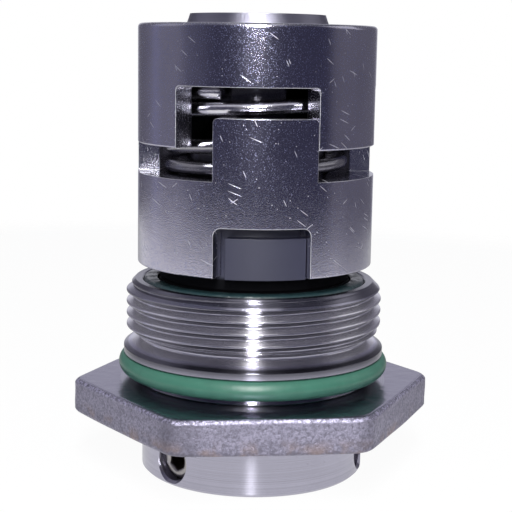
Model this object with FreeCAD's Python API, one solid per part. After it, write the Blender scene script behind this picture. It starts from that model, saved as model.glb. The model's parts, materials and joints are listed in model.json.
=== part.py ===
# Cartridge mechanical seal for a 16 mm pump shaft, in millimetres.
# The origin is the centre of the collar's bottom face, and +Z runs up the shaft axis.
# Two flats of the hexagon face -Y and +Y. Angles are counted from +X towards +Y.

import FreeCAD
import Part

import math
import os

# Shaft sleeve
shaft_diameter = 16.0
shaft_clearance = 0.05
sleeve_wall = 0.95
sleeve_proud = 1.27
nose_length = 1.3
nose_taper = 19.0
bore_chamfer = 0.5
nose_bore_chamfer = 0.15

# Collar and hub at the sleeve's lower end
collar_reach = 3.46
collar_height = 7.17
collar_chamfer = 0.35
hub_wall = 1.11
hub_height = 5.2
hub_chamfer = 0.5

# Set screws
screw_count = 3
screw_first_angle = -140.5
screw_diameter = 5.0
screw_clearance = 0.05
screw_length = 5.0
screw_recess = 1.06
screw_height = 3.15
screw_chamfer = 0.45
screw_mouth_chamfer = 0.375
socket_across_flats = 2.5
socket_depth = 2.4
cup_point_radius = 1.3
cup_point_depth = 0.6

# Shaft O-ring in the hub's bore
shaft_o_ring_section = 1.78
shaft_groove_floor = 1.6
shaft_groove_width = 2.4
o_ring_clearance = 0.03

# Hexagon housing
hex_across_flats = 41.0
hex_thickness = 4.55
hex_corner_radius = 3.0
hex_edge_radius = 0.6
boss_reach = 0.05
boss_height = 0.93
neck_depth = 1.65
flange_reach = 0.35
flange_band = 0.9
flange_cone_height = 1.15
undercut_depth = 1.73
undercut_width = 0.35
thread_wall = 2.17
thread_length = 7.15
thread_run_out = 0.9
thread_pitch = 1.5
thread_depth = 0.88
thread_groove_width = 1.08
thread_root_width = 0.2
thread_first_groove = 0.99
rim_land = 1.02
rim_chamfer_height = 1.15
rim_inner_chamfer = 0.2
pocket_depth = 5.95
housing_bore_clearance = 0.5

# Housing O-ring
housing_o_ring_section = 2.62

# Stationary seat and its rubber cup
seat_height = 4.9
seat_bore_clearance = 0.9
seat_overhang = 0.2
seat_chamfer = 0.3
gasket_wall = 1.83
gasket_lip = 1.2
gasket_lip_setback = 1.0
gasket_clearance = 0.05
gasket_proud = 0.1
gasket_edge_radius = 0.5

# Rotating seal ring
ring_height = 8.5
ring_wall = 1.34
ring_bore_clearance = 0.3
ring_chamfer = 0.3
dog_reach = 1.8
dog_start = 1.85
dog_height = 5.0
dog_span = 40.8
ring_o_ring_section = 1.78
ring_o_ring_running_gap = 0.05
ring_groove_depth = 2.2

# Cups: the drive carrier below and the spring retainer above
cup_wall = 2.75
cup_edge_radius = 0.5
cup_bottom_edge_radius = 0.2
drive_count = 3
drive_flank_angle = -66.55
drive_flank_gap = 0.25
pocket_clearance = 0.1

# Drive carrier
carrier_skirt = 6.47
carrier_web = 5.13
lug_height = 7.47
lug_span = 49.3
lug_corner_radius = 0.6
notch_height = 6.12
notch_span = 45.7
notch_flank_angle = -69.85
notch_corner_radius = 1.0

# Spring retainer
retainer_skirt = 7.42
retainer_web = 5.85
retainer_recess_depth = 1.53
retainer_rim_wall = 2.3
window_height = 7.37
window_span = 69.4
window_corner_radius = 0.5

# Retaining ring
snap_ring_thickness = 1.2
snap_ring_width = 2.0
snap_ring_groove_depth = 0.5
snap_ring_groove_play = 0.1
snap_ring_clearance = 0.02
snap_ring_angle = 90.0
snap_ring_mouth = 24.0
snap_ring_ear_span = 34.0
snap_ring_ear_reach = 1.45
snap_ring_hole_radius = 0.8

# Compression spring
spring_height = 11.12
spring_wire = 1.75
spring_clearance = 0.65
spring_turns = 3.3
spring_end_pitch = 0.53
spring_end_angle = -119.0
spring_end_centre = 0.8
spring_points_per_turn = 16

# How far a cutting shape runs past the face it opens, and past the thread's crests
cut_past = 1.0
cut_past_crest = 0.15

# How edges are told apart: sizes this close are equal, anything shorter is no edge to round,
# and an edge that climbs by more than this share of its length is upright
same_size = 1e-6
shortest_edge = 0.1
upright_climb = 0.5

full_turn = 360.0

# Radii worked out from the shaft outwards
bore_radius = shaft_diameter / 2 + shaft_clearance
sleeve_radius = bore_radius + sleeve_wall
shaft_o_ring_radius = bore_radius + o_ring_clearance + shaft_o_ring_section / 2
shaft_groove_radius = shaft_o_ring_radius + shaft_o_ring_section / 2 + o_ring_clearance
hub_radius = shaft_groove_radius + hub_wall
collar_radius = hub_radius + collar_reach
ring_bore_radius = sleeve_radius + ring_bore_clearance
ring_o_ring_radius = sleeve_radius + ring_o_ring_running_gap + ring_o_ring_section / 2
ring_groove_radius = ring_o_ring_radius + ring_o_ring_section / 2 + o_ring_clearance
ring_radius = ring_groove_radius + ring_wall
dog_radius = ring_radius + dog_reach
cup_inner_radius = ring_radius + pocket_clearance
cup_radius = cup_inner_radius + cup_wall
recess_radius = cup_radius - retainer_rim_wall
spring_radius = cup_inner_radius - spring_clearance - spring_wire / 2
snap_ring_inner_radius = sleeve_radius - snap_ring_groove_depth + snap_ring_clearance
snap_ring_outer_radius = snap_ring_inner_radius + snap_ring_width
seat_bore_radius = sleeve_radius + seat_bore_clearance
seat_radius = ring_radius + seat_overhang
gasket_lip_radius = seat_bore_radius + gasket_lip_setback
gasket_inner_radius = seat_radius + gasket_clearance
gasket_radius = gasket_inner_radius + gasket_wall
pocket_radius = gasket_radius + gasket_clearance
housing_bore_radius = hub_radius + housing_bore_clearance
rim_radius = pocket_radius + rim_land
thread_radius = pocket_radius + thread_wall
undercut_radius = thread_radius - undercut_depth
neck_radius = thread_radius - neck_depth
flange_radius = thread_radius + flange_reach
housing_o_ring_radius = neck_radius + o_ring_clearance + housing_o_ring_section / 2
boss_radius = housing_o_ring_radius + housing_o_ring_section / 2 + boss_reach

# Heights worked out from the sizes above, from the floor up
hex_bottom = collar_height
hex_top = hex_bottom + hex_thickness
boss_top = hex_top + boss_height
flange_bottom = boss_top + housing_o_ring_section + 2 * o_ring_clearance
flange_band_top = flange_bottom + flange_band
flange_top = flange_band_top + flange_cone_height
thread_bottom = flange_top + undercut_width
housing_top = thread_bottom + thread_length
pocket_floor = housing_top - pocket_depth
shaft_groove_middle = collar_height + shaft_groove_floor + shaft_groove_width / 2
seat_face = pocket_floor + gasket_lip + seat_height
ring_top = seat_face + ring_height
carrier_bottom = ring_top - carrier_skirt
carrier_web_top = ring_top + carrier_web
lug_top = carrier_web_top + lug_height
spring_top = carrier_web_top + spring_height
retainer_bottom = spring_top - retainer_skirt
recess_floor = spring_top + retainer_web
retainer_top = recess_floor + retainer_recess_depth
sleeve_top = retainer_top + sleeve_proud

AXIS = FreeCAD.Vector(0, 0, 1)
CENTRE = FreeCAD.Vector(0, 0, 0)


def turned(outline, span=full_turn):
    """A closed outline of (radius, height) points, turned about the shaft axis."""
    points = [FreeCAD.Vector(r, 0, z) for r, z in outline]
    wire = Part.makePolygon(points + points[:1])
    return Part.Face(wire).revolve(CENTRE, AXIS, span)


def cylinder(radius, low, high):
    """A round bar on the shaft axis between two heights."""
    return Part.makeCylinder(radius, high - low, FreeCAD.Vector(0, 0, low))


def tube(inner, outer, low, high):
    """A plain ring on the shaft axis."""
    return turned([(inner, low), (outer, low), (outer, high), (inner, high)])


def turn_about_axis(shape, angle):
    """A copy of a shape, turned about the shaft axis."""
    copy = shape.copy()
    copy.rotate(CENTRE, AXIS, angle)
    return copy


def repeat_round(shape, count):
    """Equal copies of a shape, evenly spaced round the shaft axis."""
    return [turn_about_axis(shape, index * full_turn / count) for index in range(count)]


def ring_of_wire(radius, section, height):
    """An O-ring: a round section carried round the shaft axis."""
    return Part.makeTorus(radius, section / 2, FreeCAD.Vector(0, 0, height))


def is_radial_edge(edge, height):
    """True for a straight edge that lies at one height and points away from the shaft axis."""
    if not isinstance(edge.Curve, (Part.Line, Part.LineSegment)):
        return False
    ends = [vertex.Point for vertex in edge.Vertexes]
    level = all(abs(end.z - height) < same_size for end in ends)
    return level and edge.Length > shortest_edge


def is_circle_at(edge, radius, height):
    """True for a circular edge of one radius, centred on the shaft axis at one height."""
    if not isinstance(edge.Curve, Part.Circle):
        return False
    same_radius = abs(edge.Curve.Radius - radius) < same_size
    return same_radius and abs(edge.Curve.Center.z - height) < same_size


def climb(edge):
    """How steeply an edge climbs where it starts: 1 for an upright edge and 0 for a level one."""
    return abs(edge.tangentAt(edge.FirstParameter).z)


def round_circle(shape, radius, height, fillet):
    """Rounds the circular edge of one radius at one height."""
    edges = [edge for edge in shape.Edges if is_circle_at(edge, radius, height)]
    return shape.makeFillet(fillet, edges)


def sector(inner, outer, low, high, first, span):
    """A block of a ring between two radii, two heights and two radial flanks."""
    outline = [(inner, low), (outer, low), (outer, high), (inner, high)]
    return turn_about_axis(turned(outline, span), first)


def sector_with_round_top(inner, outer, low, high, first, span, corner):
    """A block of a ring whose two top corners, seen from outside, are rounded."""
    block = sector(inner, outer, low, high, first, span)
    edges = [edge for edge in block.Edges if is_radial_edge(edge, high)]
    return block.makeFillet(corner, edges)


def hexagon_prism(across_flats, low, high):
    """A hexagonal bar on the shaft axis, with two flats facing -Y and +Y."""
    corner = across_flats / 2 / math.cos(math.pi / 6)
    angles = [math.radians(60 * side) for side in range(7)]
    points = [FreeCAD.Vector(corner * math.cos(a), corner * math.sin(a), low) for a in angles]
    return Part.Face(Part.makePolygon(points)).extrude(FreeCAD.Vector(0, 0, high - low))


def sleeve_outline():
    """Half section of the sleeve with its collar, hub and tapered nose."""
    hub_top = collar_height + hub_height
    nose_drop = nose_length * math.tan(math.radians(nose_taper))
    return [
        (bore_radius + bore_chamfer, 0),
        (collar_radius - collar_chamfer, 0),
        (collar_radius, collar_chamfer),
        (collar_radius, collar_height),
        (hub_radius, collar_height),
        (hub_radius, hub_top - hub_chamfer),
        (hub_radius - hub_chamfer, hub_top),
        (sleeve_radius, hub_top),
        (sleeve_radius, sleeve_top - nose_length),
        (sleeve_radius - nose_drop, sleeve_top),
        (bore_radius + nose_bore_chamfer, sleeve_top),
        (bore_radius, sleeve_top - nose_bore_chamfer),
        (bore_radius, bore_chamfer),
    ]


def screw_hole():
    """A radial hole through the collar on +X, with a chamfered mouth."""
    outward = FreeCAD.Vector(1, 0, 0)
    radius = screw_diameter / 2
    start = FreeCAD.Vector(bore_radius / 2, 0, screw_height)
    hole = Part.makeCylinder(radius, collar_radius, start, outward)
    depth = screw_mouth_chamfer
    mouth = FreeCAD.Vector(collar_radius - depth, 0, screw_height)
    flare = Part.makeCone(radius, radius + 2 * depth, 2 * depth, mouth, outward)
    return hole.fuse(flare)


def make_shaft_sleeve():
    """The sleeve that slides on the shaft, turned in one piece with its clamping collar."""
    body = turned(sleeve_outline())
    groove_low = shaft_groove_middle - shaft_groove_width / 2
    groove_high = shaft_groove_middle + shaft_groove_width / 2
    body = body.cut(tube(bore_radius / 2, shaft_groove_radius, groove_low, groove_high))
    snap_groove_radius = sleeve_radius - snap_ring_groove_depth
    snap_groove_top = recess_floor + snap_ring_thickness + snap_ring_groove_play
    body = body.cut(tube(snap_groove_radius, cup_radius, recess_floor, snap_groove_top))
    holes = turn_about_axis(screw_hole(), screw_first_angle)
    return body.cut(repeat_round(holes, screw_count))


def make_set_screw(angle):
    """A hexagon socket set screw with a cup point, its tip towards the shaft."""
    outer_end = collar_radius - screw_recess
    tip = outer_end - screw_length
    radius = screw_diameter / 2 - screw_clearance
    outline = [
        (0, 0),
        (radius - screw_chamfer, 0),
        (radius, screw_chamfer),
        (radius, screw_length - screw_chamfer),
        (radius - screw_chamfer, screw_length),
        (0, screw_length),
    ]
    screw = turned(outline)
    screw = screw.cut(Part.makeCone(cup_point_radius, 0, cup_point_depth))
    socket_top = screw_length + cut_past
    socket = hexagon_prism(socket_across_flats, screw_length - socket_depth, socket_top)
    screw = screw.cut(socket)
    screw.rotate(CENTRE, FreeCAD.Vector(0, 1, 0), 90)
    screw.translate(FreeCAD.Vector(tip, 0, screw_height))
    return turn_about_axis(screw, angle)


def make_shaft_o_ring():
    """The ring that seals the sleeve to the shaft."""
    return ring_of_wire(shaft_o_ring_radius, shaft_o_ring_section, shaft_groove_middle)


def housing_outline():
    """Half section of the housing's turned part, from its hexagon to its rim."""
    return [
        (housing_bore_radius, hex_bottom),
        (boss_radius, hex_bottom),
        (boss_radius, boss_top),
        (neck_radius, boss_top),
        (neck_radius, flange_bottom),
        (flange_radius, flange_bottom),
        (flange_radius, flange_band_top),
        (undercut_radius, flange_top),
        (undercut_radius, thread_bottom),
        (thread_radius, thread_bottom + thread_run_out),
        (thread_radius, housing_top - rim_chamfer_height),
        (rim_radius, housing_top),
        (pocket_radius + rim_inner_chamfer, housing_top),
        (pocket_radius, housing_top - rim_inner_chamfer),
        (pocket_radius, pocket_floor),
        (housing_bore_radius, pocket_floor),
    ]


def thread_grooves():
    """The thread's grooves, cut as level rings at its pitch up to the rim's chamfer."""
    root = thread_radius - thread_depth
    outside = thread_radius + cut_past_crest
    half_root = thread_root_width / 2
    flank = (thread_groove_width / 2 - half_root) / thread_depth
    half_mouth = half_root + flank * (outside - root)
    lowest = thread_bottom + thread_first_groove
    room = housing_top - rim_chamfer_height - lowest
    grooves = []
    for index in range(math.floor(room / thread_pitch) + 1):
        middle = lowest + index * thread_pitch
        outline = [
            (root, middle - half_root),
            (outside, middle - half_mouth),
            (outside, middle + half_mouth),
            (root, middle + half_root),
        ]
        grooves.append(turned(outline))
    return grooves


def make_hex_housing():
    """The screwed housing: a cast hexagon with a turned flange, thread and seat pocket."""
    hexagon = hexagon_prism(hex_across_flats, hex_bottom, hex_top)
    uprights = [edge for edge in hexagon.Edges if climb(edge) > upright_climb]
    hexagon = hexagon.makeFillet(hex_corner_radius, uprights)
    level = [edge for edge in hexagon.Edges if climb(edge) < upright_climb]
    hexagon = hexagon.makeFillet(hex_edge_radius, level)
    bore = cylinder(housing_bore_radius, hex_bottom - cut_past, hex_top + cut_past)
    hexagon = hexagon.cut(bore)
    body = hexagon.fuse(turned(housing_outline())).removeSplitter()
    return body.cut(thread_grooves())


def make_housing_o_ring():
    """The ring under the flange that seals the housing to the pump head."""
    middle = (boss_top + flange_bottom) / 2
    return ring_of_wire(housing_o_ring_radius, housing_o_ring_section, middle)


def make_seat_cup_gasket():
    """The rubber cup that holds the stationary seat in the housing's pocket."""
    top = seat_face + gasket_proud
    outline = [
        (gasket_lip_radius, pocket_floor),
        (gasket_radius, pocket_floor),
        (gasket_radius, top),
        (gasket_inner_radius, top),
        (gasket_inner_radius, pocket_floor + gasket_lip),
        (gasket_lip_radius, pocket_floor + gasket_lip),
    ]
    gasket = turned(outline)
    return round_circle(gasket, gasket_radius, top, gasket_edge_radius)


def make_stationary_seat():
    """The hard ring whose top face is the fixed half of the seal."""
    bottom = pocket_floor + gasket_lip
    outline = [
        (seat_bore_radius, bottom),
        (seat_radius - seat_chamfer, bottom),
        (seat_radius, bottom + seat_chamfer),
        (seat_radius, seat_face - seat_chamfer),
        (seat_radius - seat_chamfer, seat_face),
        (seat_bore_radius + seat_chamfer, seat_face),
        (seat_bore_radius, seat_face - seat_chamfer),
    ]
    return turned(outline)


def make_rotating_seal_ring():
    """The hard ring that turns with the shaft, with three dogs for the carrier's notches."""
    groove_floor = ring_top - ring_groove_depth
    outline = [
        (ring_bore_radius + ring_chamfer, seat_face),
        (ring_radius - ring_chamfer, seat_face),
        (ring_radius, seat_face + ring_chamfer),
        (ring_radius, ring_top),
        (ring_groove_radius, ring_top),
        (ring_groove_radius, groove_floor),
        (ring_bore_radius, groove_floor),
        (ring_bore_radius, seat_face + ring_chamfer),
    ]
    body = turned(outline)
    low = seat_face + dog_start
    first = notch_flank_angle - drive_flank_gap - dog_span
    inside = (ring_bore_radius + ring_radius) / 2
    dog = sector(inside, dog_radius, low, low + dog_height, first, dog_span)
    return body.fuse(repeat_round(dog, drive_count)).removeSplitter()


def make_rotating_ring_o_ring():
    """The ring that seals the rotating ring to the sleeve and slides along it."""
    groove_middle = ring_top - ring_groove_depth / 2
    return ring_of_wire(ring_o_ring_radius, ring_o_ring_section, groove_middle)


def drive_lug():
    """One upright lug of the carrier, whose leading flank pushes in a retainer window."""
    first = drive_flank_angle - drive_flank_gap - lug_span
    return sector_with_round_top(
        cup_inner_radius, cup_radius, ring_top, lug_top, first, lug_span, lug_corner_radius
    )


def drive_notch():
    """One open slot in the carrier's lower rim, where a dog of the rotating ring fits."""
    low = carrier_bottom - cut_past
    high = carrier_bottom + notch_height
    return sector_with_round_top(
        cup_inner_radius - cut_past, cup_radius + cut_past, low, high,
        notch_flank_angle - notch_span, notch_span, notch_corner_radius,
    )


def make_drive_carrier():
    """The lower cup: it holds the rotating ring below and the spring above."""
    outline = [
        (cup_inner_radius, carrier_bottom),
        (cup_radius, carrier_bottom),
        (cup_radius, carrier_web_top),
        (ring_bore_radius, carrier_web_top),
        (ring_bore_radius, ring_top),
        (cup_inner_radius, ring_top),
    ]
    cup = round_circle(turned(outline), cup_radius, carrier_bottom, cup_bottom_edge_radius)
    cup = cup.fuse(repeat_round(drive_lug(), drive_count)).removeSplitter()
    return cup.cut(repeat_round(drive_notch(), drive_count))


def retainer_window():
    """One opening in the retainer's lower rim, wider than the lug that drives in it."""
    low = retainer_bottom - cut_past
    high = retainer_bottom + window_height
    return sector_with_round_top(
        cup_inner_radius - cut_past, cup_radius + cut_past, low, high,
        drive_flank_angle - window_span, window_span, window_corner_radius,
    )


def make_spring_retainer():
    """The upper cup: pressed on the sleeve, it backs the spring and drives the carrier."""
    outline = [
        (sleeve_radius, spring_top),
        (cup_inner_radius, spring_top),
        (cup_inner_radius, retainer_bottom),
        (cup_radius, retainer_bottom),
        (cup_radius, retainer_top),
        (recess_radius, retainer_top),
        (recess_radius, recess_floor),
        (sleeve_radius, recess_floor),
    ]
    cup = round_circle(turned(outline), cup_radius, retainer_top, cup_edge_radius)
    cup = round_circle(cup, cup_radius, retainer_bottom, cup_bottom_edge_radius)
    return cup.cut(repeat_round(retainer_window(), drive_count))


def make_retaining_ring():
    """The open snap ring in the sleeve's groove that keeps the retainer from sliding off."""
    low = recess_floor
    high = recess_floor + snap_ring_thickness
    ear_radius = snap_ring_outer_radius + snap_ring_ear_reach
    ears = sector(
        snap_ring_inner_radius, ear_radius, low, high,
        snap_ring_angle - (snap_ring_mouth + snap_ring_ear_span) / 2,
        snap_ring_mouth + snap_ring_ear_span,
    )
    ring = tube(snap_ring_inner_radius, snap_ring_outer_radius, low, high).fuse(ears)
    mouth_first = snap_ring_angle - snap_ring_mouth / 2
    mouth = sector(
        snap_ring_inner_radius - cut_past, ear_radius + cut_past, low - cut_past, high + cut_past,
        mouth_first, snap_ring_mouth,
    )
    ring = ring.cut(mouth).removeSplitter()
    hole_distance = ear_radius - snap_ring_ear_reach / 2 - snap_ring_hole_radius / 2
    hole_angle = (snap_ring_mouth + snap_ring_ear_span / 2) / 2
    start = FreeCAD.Vector(hole_distance, 0, low - cut_past)
    length = snap_ring_thickness + 2 * cut_past
    hole = Part.makeCylinder(snap_ring_hole_radius, length, start)
    holes = [turn_about_axis(hole, snap_ring_angle + side * hole_angle) for side in (-1, 1)]
    return ring.cut(holes)


def climb_share(share):
    """How much of the coils' free climb is done at a share of their turns, slow at both ends."""
    return 2 * share**2 if share < 0.5 else 1 - 2 * (1 - share) ** 2


def coil_point(turn):
    """A point of the spring's centre line, a number of turns up from its lower end."""
    end_climb = spring_end_pitch * spring_turns
    free_climb = spring_height - 2 * spring_end_centre - end_climb
    height = carrier_web_top + spring_end_centre + spring_end_pitch * turn
    height += free_climb * climb_share(turn / spring_turns)
    angle = math.radians(spring_end_angle + full_turn * (turn - spring_turns))
    return FreeCAD.Vector(
        spring_radius * math.cos(angle), spring_radius * math.sin(angle), height
    )


def make_compression_spring():
    """The right-hand spring with closed ends, ground flat where they bear on the cups."""
    steps = round(spring_turns * spring_points_per_turn)
    points = [coil_point(spring_turns * step / steps) for step in range(steps + 1)]
    line = Part.BSplineCurve()
    line.interpolate(points)
    path = Part.Wire(line.toShape())
    section = Part.Circle(points[0], line.tangent(0)[0], spring_wire / 2)
    coil = path.makePipeShell([Part.Wire(section.toShape())], True, True)
    return coil.common(cylinder(cup_radius, carrier_web_top, spring_top))


def write(name, shape):
    """Writes one solid to its own file and prints its volume."""
    solids = shape.Solids
    if len(solids) != 1 or not shape.isValid():
        raise RuntimeError(f"{name} is not one valid solid")
    solids[0].exportStep(f"parts/{name}.step")
    print(f"{name}: {solids[0].Volume:.1f} mm3")


def main():
    os.makedirs("parts", exist_ok=True)
    write("shaft_sleeve", make_shaft_sleeve())
    write("shaft_o_ring", make_shaft_o_ring())
    write("hex_housing", make_hex_housing())
    write("housing_o_ring", make_housing_o_ring())
    write("seat_cup_gasket", make_seat_cup_gasket())
    write("stationary_seat", make_stationary_seat())
    write("rotating_seal_ring", make_rotating_seal_ring())
    write("rotating_ring_o_ring", make_rotating_ring_o_ring())
    write("drive_carrier", make_drive_carrier())
    write("compression_spring", make_compression_spring())
    write("spring_retainer", make_spring_retainer())
    write("retaining_ring", make_retaining_ring())
    for index in range(screw_count):
        angle = screw_first_angle + index * full_turn / screw_count
        write(f"set_screw_{index + 1}", make_set_screw(angle))


main()
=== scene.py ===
"""Finishes, finer surfaces and stage for the cartridge mechanical seal, laid out as an add-on.

Sizes in the code are in millimetres unless a name says otherwise, and meshes are made in metres.
"""

import json
import math

import bpy
import numpy as np
from mathutils import Matrix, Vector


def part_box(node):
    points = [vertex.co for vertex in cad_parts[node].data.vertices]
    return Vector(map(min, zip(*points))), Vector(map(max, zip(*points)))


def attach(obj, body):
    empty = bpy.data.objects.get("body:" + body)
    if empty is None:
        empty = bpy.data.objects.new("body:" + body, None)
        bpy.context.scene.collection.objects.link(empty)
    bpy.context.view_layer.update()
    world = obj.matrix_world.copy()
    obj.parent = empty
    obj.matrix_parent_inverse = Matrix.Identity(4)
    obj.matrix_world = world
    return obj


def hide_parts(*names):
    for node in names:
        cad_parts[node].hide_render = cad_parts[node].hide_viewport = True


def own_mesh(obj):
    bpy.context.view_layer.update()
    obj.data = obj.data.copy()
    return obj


bl_info = {
    "name": "Cartridge seal looks",
    "version": (1, 0, 0),
    "blender": (4, 5, 0),
    "location": "3D View > Sidebar > Seal",
    "description": "Dresses the cartridge mechanical seal and sets its stage",
    "category": "Object",
}

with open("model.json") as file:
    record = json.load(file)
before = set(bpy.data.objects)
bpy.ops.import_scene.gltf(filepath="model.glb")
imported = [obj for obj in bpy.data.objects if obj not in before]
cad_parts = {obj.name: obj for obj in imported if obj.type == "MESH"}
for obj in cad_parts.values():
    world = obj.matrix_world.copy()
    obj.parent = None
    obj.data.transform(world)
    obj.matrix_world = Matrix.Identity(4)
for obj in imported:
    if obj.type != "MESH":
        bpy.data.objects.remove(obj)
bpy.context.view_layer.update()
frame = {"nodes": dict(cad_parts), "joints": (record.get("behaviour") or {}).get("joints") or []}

MM = 0.001
FULL_TURN = 2 * math.pi

HOUSING_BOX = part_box("hex_housing")
SPRING_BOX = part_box("compression_spring")
SPRING_LOW, SPRING_HIGH = (corner.z / MM for corner in SPRING_BOX)
O_RING_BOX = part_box("housing_o_ring")
GASKET_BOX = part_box("seat_cup_gasket")

SPRING_WIRE = 1.75
SPRING_TURNS = 3.3
SPRING_END_PITCH = 0.53
SPRING_END_CENTRE = 0.8
SPRING_END_ANGLE = -119.0

SCREW_TIP = 8.4
SCREW_END = 13.4
SCREW_HEIGHT = 3.15
SCREW_RADIUS = 2.45
SCREW_PITCH = 0.8
SCREW_THREAD_DEPTH = 0.4
SCREW_SOCKET = 1.25
FIRST_SCREW_ANGLE = -140.5


def math_operator(operation, reflected=False):
    """A method for one of Python's operators, which adds a Math node for it."""
    def method(self, other):
        return self.maths(operation, *((other, self) if reflected else (self, other)))
    return method


class Value:
    """A number, colour or vector that varies over a surface: a node's output.

    Python's operators on it add Math nodes, so an expression reads as the sum it stands for.
    """

    def __init__(self, nodes, socket):
        self.nodes = nodes
        self.socket = socket

    def out(self, name):
        """Another output of the same node."""
        return Value(self.nodes, self.socket.node.outputs[name])

    def maths(self, operation, *terms):
        return self.nodes.add("ShaderNodeMath", {"operation": operation}, dict(enumerate(terms)))

    def __abs__(self):
        return self.maths("ABSOLUTE", self)

    __add__, __radd__ = math_operator("ADD"), math_operator("ADD", reflected=True)
    __sub__, __rsub__ = math_operator("SUBTRACT"), math_operator("SUBTRACT", reflected=True)
    __mul__, __rmul__ = math_operator("MULTIPLY"), math_operator("MULTIPLY", reflected=True)
    __truediv__ = math_operator("DIVIDE")
    __pow__ = math_operator("POWER")
    __gt__ = math_operator("GREATER_THAN")
    __lt__ = math_operator("LESS_THAN")
    or_more = math_operator("MAXIMUM")


class Nodes:
    """A node tree being built. One method adds any node, and the rest name common ones."""

    def __init__(self, tree):
        self.tree = tree
        tree.nodes.clear()

    def add(self, kind, settings=None, inputs=None, output=0):
        """A new node: its settings first, then the numbers or links of its inputs."""
        node = self.tree.nodes.new(kind)
        for name, setting in (settings or {}).items():
            setattr(node, name, setting)
        for key, value in (inputs or {}).items():
            if isinstance(value, Value):
                self.tree.links.new(value.socket, node.inputs[key])
            else:
                node.inputs[key].default_value = value
        return Value(self, node.outputs[output]) if node.outputs else node

    def split(self, vector):
        """The three numbers of a vector."""
        parts = self.add("ShaderNodeSeparateXYZ", None, {0: vector})
        return parts, parts.out("Y"), parts.out("Z")

    def join(self, x, y, z):
        """A vector of three numbers."""
        return self.add("ShaderNodeCombineXYZ", None, {0: x, 1: y, 2: z})

    def rise(self, value, low, high, start=0.0, end=1.0):
        """Goes smoothly from start to end while a value goes from low to high."""
        inputs = {"Value": value, 1: low, 2: high, 3: start, 4: end}
        return self.add("ShaderNodeMapRange", {"interpolation_type": "SMOOTHSTEP"}, inputs)

    def blend(self, share, first, second):
        """A colour that goes from the first to the second."""
        kind = {"data_type": "RGBA", "clamp_factor": True}
        return self.add("ShaderNodeMix", kind, {0: share, 6: first, 7: second}, output=2)

    def layered(self, shade, *layers):
        """A shade with layers over it: each a mask, a colour and the share of it, if not 1."""
        for mask, *colour in layers:
            shade = self.blend(mask, shade, opaque(*colour))
        return shade

    def varied(self, pattern, colour, start, end):
        """A colour that goes from one share of itself to another with a pattern."""
        return self.blend(pattern, opaque(colour, start), opaque(colour, end))


class Finish(Nodes):
    """A material being made. Its patterns read Object coordinates, in millimetres."""

    def __init__(self, name):
        self.material = bpy.data.materials.new(name)
        self.material.use_nodes = True
        super().__init__(self.material.node_tree)
        inputs = {0: self.add("ShaderNodeTexCoord").out("Object"), "Scale": 1 / MM}
        self.place = self.add("ShaderNodeVectorMath", {"operation": "SCALE"}, inputs)
        self.x, self.y, self.z = self.split(self.place)

    def pattern(self, scale, detail=2.0, roughness=0.5, place=None):
        """Smooth noise between 0 and 1, with about `scale` features a unit of its place."""
        inputs = {"Scale": scale, "Detail": detail, "Roughness": roughness}
        inputs["Vector"] = place or self.place
        return self.add("ShaderNodeTexNoise", {"noise_dimensions": "3D"}, inputs)

    def cells(self, scale, dimensions="3D", place=None):
        """Distance to the nearest of scattered points; its Color output differs by point."""
        inputs = {"Vector": place or self.place, "Scale": scale}
        return self.add("ShaderNodeTexVoronoi", {"voronoi_dimensions": dimensions}, inputs)

    def kept(self, cells, share):
        """1 on a share of the cells, picked by their random colours, and 0 on the rest."""
        return self.split(cells.out("Color"))[0] < share

    def radius(self):
        """Distance from the shaft axis."""
        return (self.x * self.x + self.y * self.y) ** 0.5

    def angle(self):
        """Angle from -Y towards +X, whose jump from pi to -pi lies at the back."""
        return self.x.maths("ARCTAN2", self.x, self.y * -1)

    def soft_normal(self, radius):
        """The normal of a surface whose edges are rounded to a radius, in millimetres."""
        return self.add("ShaderNodeBevel", {"samples": 6}, {"Radius": radius * MM})

    def edges(self, soft):
        """1 on a sharp edge and 0 on a flat, from how far a softened normal leans."""
        inputs = {0: soft, 1: self.add("ShaderNodeNewGeometry").out("Normal")}
        return 1 - self.add("ShaderNodeVectorMath", {"operation": "DOT_PRODUCT"}, inputs, output=1)

    def finished(self, colour, roughness, relief, depth, soft=None, others=None):
        """The material, from the inputs of its one surface shader: metal, unless others say not.

        The relief is a height from 0 to 1 that stands for a depth in millimetres.
        """
        bump = {"Height": relief, "Distance": depth * MM, "Strength": 1.0}
        if soft is not None:
            bump["Normal"] = soft
        normal = self.add("ShaderNodeBump", None, bump)
        inputs = {"Base Color": colour, "Metallic": 1.0, "Roughness": roughness, "Normal": normal}
        shader = self.add("ShaderNodeBsdfPrincipled", None, {**inputs, **(others or {})})
        self.add("ShaderNodeOutputMaterial", None, {"Surface": shader})
        return self.material


def opaque(colour, share=1.0):
    """A colour as four numbers, made lighter or darker by a share."""
    return (*(channel * share for channel in colour), 1.0)


def turning_lines(finish, pitch=0.11, wander=0.02):
    """Height of the fine rings that a lathe tool leaves, from 0 to 1.

    Noise of the radius and the height alone, which hardly changes on the way round.
    """
    radius = finish.radius()
    along = finish.join(radius / pitch, finish.z / pitch, finish.angle() * wander)
    return finish.pattern(1.0, detail=3.0, roughness=0.65, place=along)


def scratches(finish, lean, length, share, seed):
    """Height of short straight scratches on the upright walls, from 0 to 1.

    The wall is unrolled to its own two axes, turned by an angle and squeezed along each, so that
    small discs round scattered points stand for ellipses of a length and width. A share is kept.
    """
    width, disc = 0.11, 0.22
    across = finish.angle() * finish.radius()
    cosine, sine = math.cos(lean), math.sin(lean)
    along_axis = (across * cosine + finish.z * sine) * (disc / length) + seed
    over_axis = (finish.z * cosine - across * sine) * (disc / width)
    points = finish.cells(1.0, "2D", finish.join(along_axis, over_axis, 0.0))
    return finish.rise(points, disc / 2, disc / 4) * finish.kept(points, share)


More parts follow.
